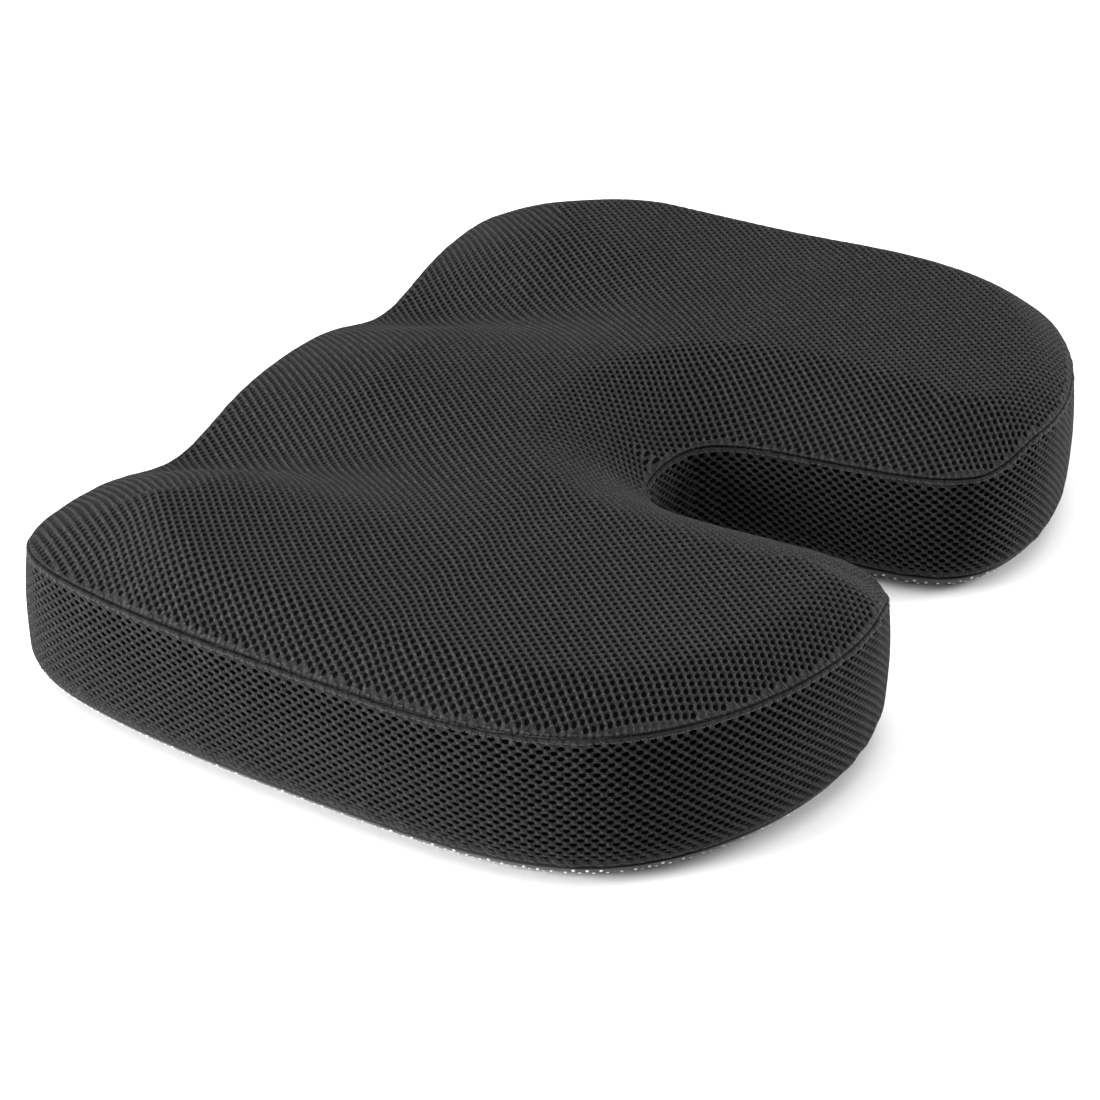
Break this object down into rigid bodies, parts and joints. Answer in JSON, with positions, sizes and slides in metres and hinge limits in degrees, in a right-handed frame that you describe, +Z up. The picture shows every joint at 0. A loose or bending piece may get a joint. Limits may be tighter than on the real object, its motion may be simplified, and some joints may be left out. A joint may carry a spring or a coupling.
{
  "type": "seat cushion",
  "caption": "Contoured U-shaped seat cushion: foam core with thigh grooves and a tailbone cutout, in a zipped spacer-mesh cover with a non-slip base.",
  "frame": {"origin": "middle of the cushion's plan, on the plane that its base rests on", "axes": "+X along the cushion's width, parallel to the zip; +Y towards the front edge under the thighs; +Z up"},
  "size_m": [0.451, 0.3206, 0.0819],
  "materials": {
    "foam": "open-cell foam, matte",
    "spacer_mesh": "black knitted spacer mesh, matte",
    "grip_fabric": "black fabric with small white rubber dots",
    "zip_tape": "black woven tape",
    "zip_coil": "black nylon",
    "zip_metal": "black enamel"
  },
  "bodies": {
    "cushion": {"foam_core": "foam", "top_panel": "spacer_mesh", "side_band": "spacer_mesh", "zip_band_upper": "spacer_mesh", "zip_band_lower": "spacer_mesh", "base_panel": "grip_fabric", "zip_tape_upper": "zip_tape", "zip_tape_lower": "zip_tape", "zip_coil_upper": "zip_coil", "zip_coil_lower": "zip_coil", "zip_stop_closed": "zip_metal", "zip_stop_open": "zip_metal"},
    "slider": {"zip_slider": "zip_metal"},
    "pull": {"zip_pull": "zip_metal"}
  },
  "joints": [
    {"name": "zip_slide", "type": "slide", "parent": "cushion", "child": "slider", "axis": [-1, 0, 0], "range_m": [0, 0.2444]},
    {"name": "pull_flip", "type": "hinge", "parent": "slider", "child": "pull", "pos_m": [0.1222, 0.15813, 0.026], "axis": [0, 0, -1], "range_deg": [0, 180]}
  ]
}
